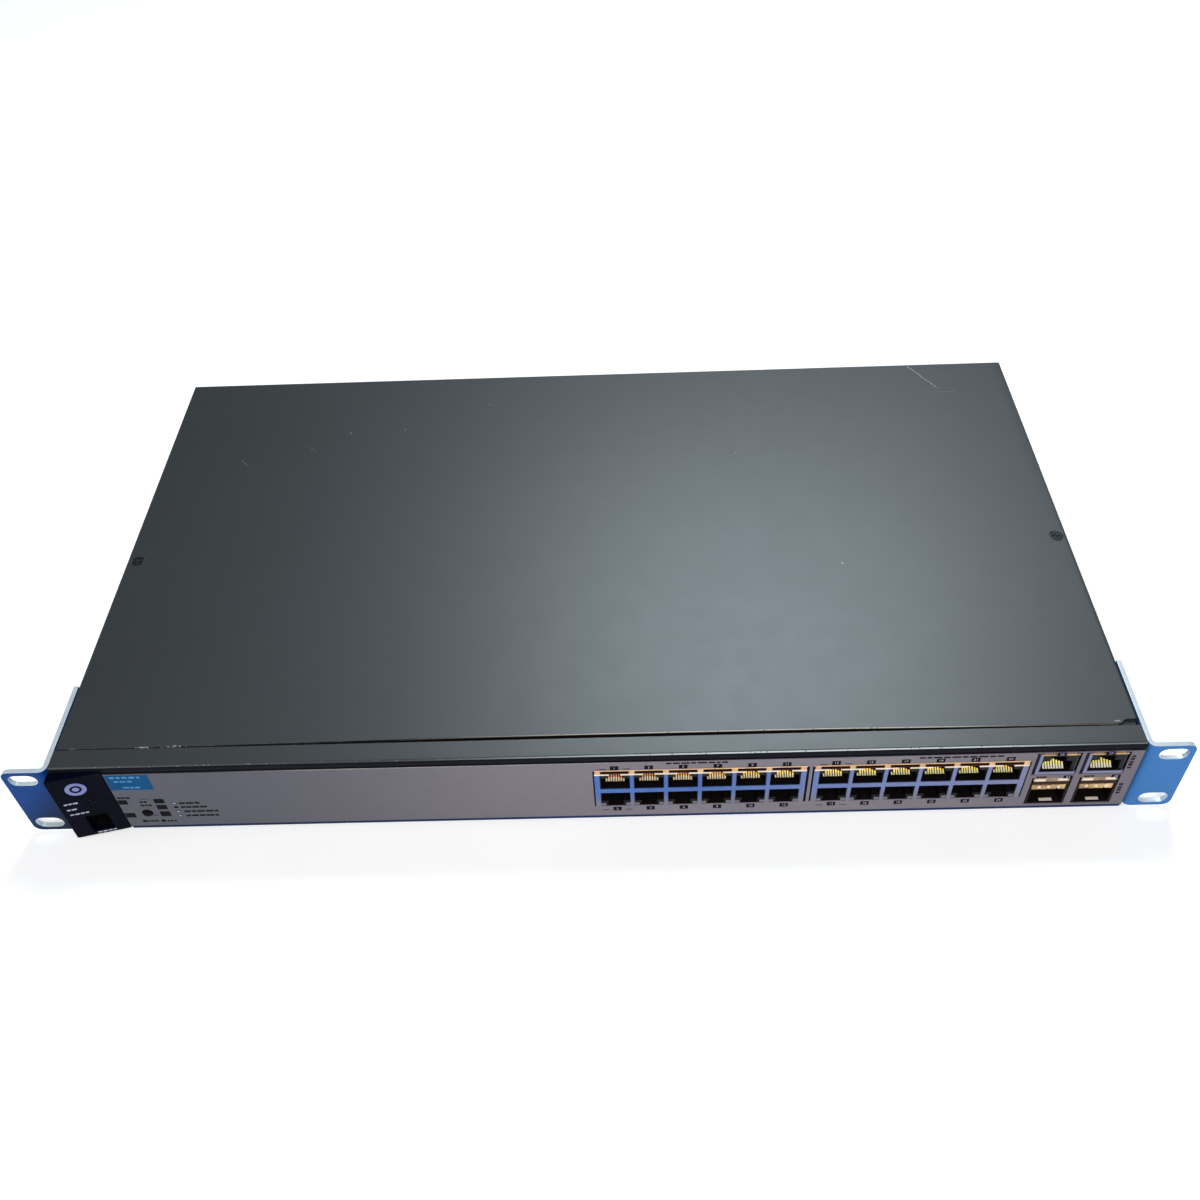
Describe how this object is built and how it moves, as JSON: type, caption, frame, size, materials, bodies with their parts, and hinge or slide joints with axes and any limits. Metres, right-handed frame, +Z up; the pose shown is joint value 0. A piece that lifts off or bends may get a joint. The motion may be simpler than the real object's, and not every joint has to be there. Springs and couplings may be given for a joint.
{
  "type": "rackmount network switch",
  "caption": "One-unit rackmount network switch with two banks of copper jacks, uplink jacks over module cages, a console jack, rack ears and a mains inlet at the back.",
  "frame": {"origin": "middle of the object's footprint, on the surface that it rests on", "axes": "+X to the right as the front is faced, -Y out of the front, +Z up"},
  "size_m": [0.4826, 0.2528, 0.0439],
  "materials": {
    "painted_steel": "charcoal powder coat with a fine texture",
    "label_film": "silver-grey printed polyester film",
    "bezel_plastic": "gloss blue-black moulding",
    "ear_coating": "blue coating, bare at the cut edges",
    "bright_steel": "zinc-plated",
    "shield_nickel": "nickel-plated sheet",
    "jack_plastic": "black moulding",
    "contact_gold": "gold-plated",
    "finger_copper": "bright copper alloy",
    "board_green": "solder mask over glass laminate",
    "black_aluminium": "black anodised",
    "can_blue": "shrink sleeve",
    "tape_yellow": "insulating tape over the winding",
    "clear_plastic": "clear moulding",
    "insulating_film": "translucent film"
  },
  "bodies": {
    "chassis": {"base_pan": "painted_steel", "bulk_capacitor": "can_blue", "button_board": "board_green", "cage_finger_strip_1": "finger_copper", "cage_finger_strip_2": "finger_copper", "chip_heatsink": "black_aluminium", "console_jack": "jack_plastic", "cover_screw_left": "painted_steel", "cover_screw_right": "painted_steel", "ear_screw_left_1": "bright_steel", "ear_screw_left_2": "bright_steel", "ear_screw_left_3": "bright_steel", "ear_screw_left_4": "bright_steel", "ear_screw_right_1": "bright_steel", "ear_screw_right_2": "bright_steel", "ear_screw_right_3": "bright_steel", "ear_screw_right_4": "bright_steel", "finger_strip_left": "finger_copper", "finger_strip_right": "finger_copper", "front_label": "label_film", "front_panel": "painted_steel", "ground_screw": "bright_steel", "inlet_pin_earth": "bright_steel", "inlet_pin_line": "bright_steel", "inlet_pin_neutral": "bright_steel", "insulator_sheet": "insulating_film", "main_board": "board_green", "module_cage_1": "shield_nickel", "module_cage_2": "shield_nickel", "module_connector_1": "jack_plastic", "module_connector_2": "jack_plastic", "port_contacts_left": "contact_gold", "port_contacts_right": "contact_gold", "port_housing_left": "jack_plastic", "port_housing_right": "jack_plastic", "port_magnetics_left": "jack_plastic", "port_magnetics_right": "jack_plastic", "port_shield_left": "shield_nickel", "port_shield_right": "shield_nickel", "power_board": "board_green", "power_inlet": "jack_plastic", "power_transformer": "tape_yellow", "rack_ear_left": "ear_coating", "rack_ear_right": "ear_coating", "status_bezel": "bezel_plastic", "status_light_pipes": "clear_plastic", "supply_harness": "jack_plastic", "top_cover": "painted_steel", "uplink_board": "board_green", "uplink_finger_strip_1": "finger_copper", "uplink_finger_strip_2": "finger_copper", "uplink_housing_1": "jack_plastic", "uplink_housing_2": "jack_plastic", "uplink_shield_1": "shield_nickel", "uplink_shield_2": "shield_nickel"},
    "mode_key": {"mode_button": "jack_plastic"},
    "reset_key": {"reset_button": "jack_plastic"},
    "clear_key": {"clear_button": "jack_plastic"}
  },
  "joints": [
    {"name": "mode_press", "type": "slide", "parent": "chassis", "child": "mode_key", "axis": [0, 1, 0], "range_m": [0, 0.0006], "stiffness_N_per_m": 1500, "springref_m": -0.0003},
    {"name": "reset_press", "type": "slide", "parent": "chassis", "child": "reset_key", "axis": [0, 1, 0], "range_m": [0, 0.0005], "stiffness_N_per_m": 1500, "springref_m": -0.0003},
    {"name": "clear_press", "type": "slide", "parent": "chassis", "child": "clear_key", "axis": [0, 1, 0], "range_m": [0, 0.0005], "stiffness_N_per_m": 1500, "springref_m": -0.0003}
  ]
}
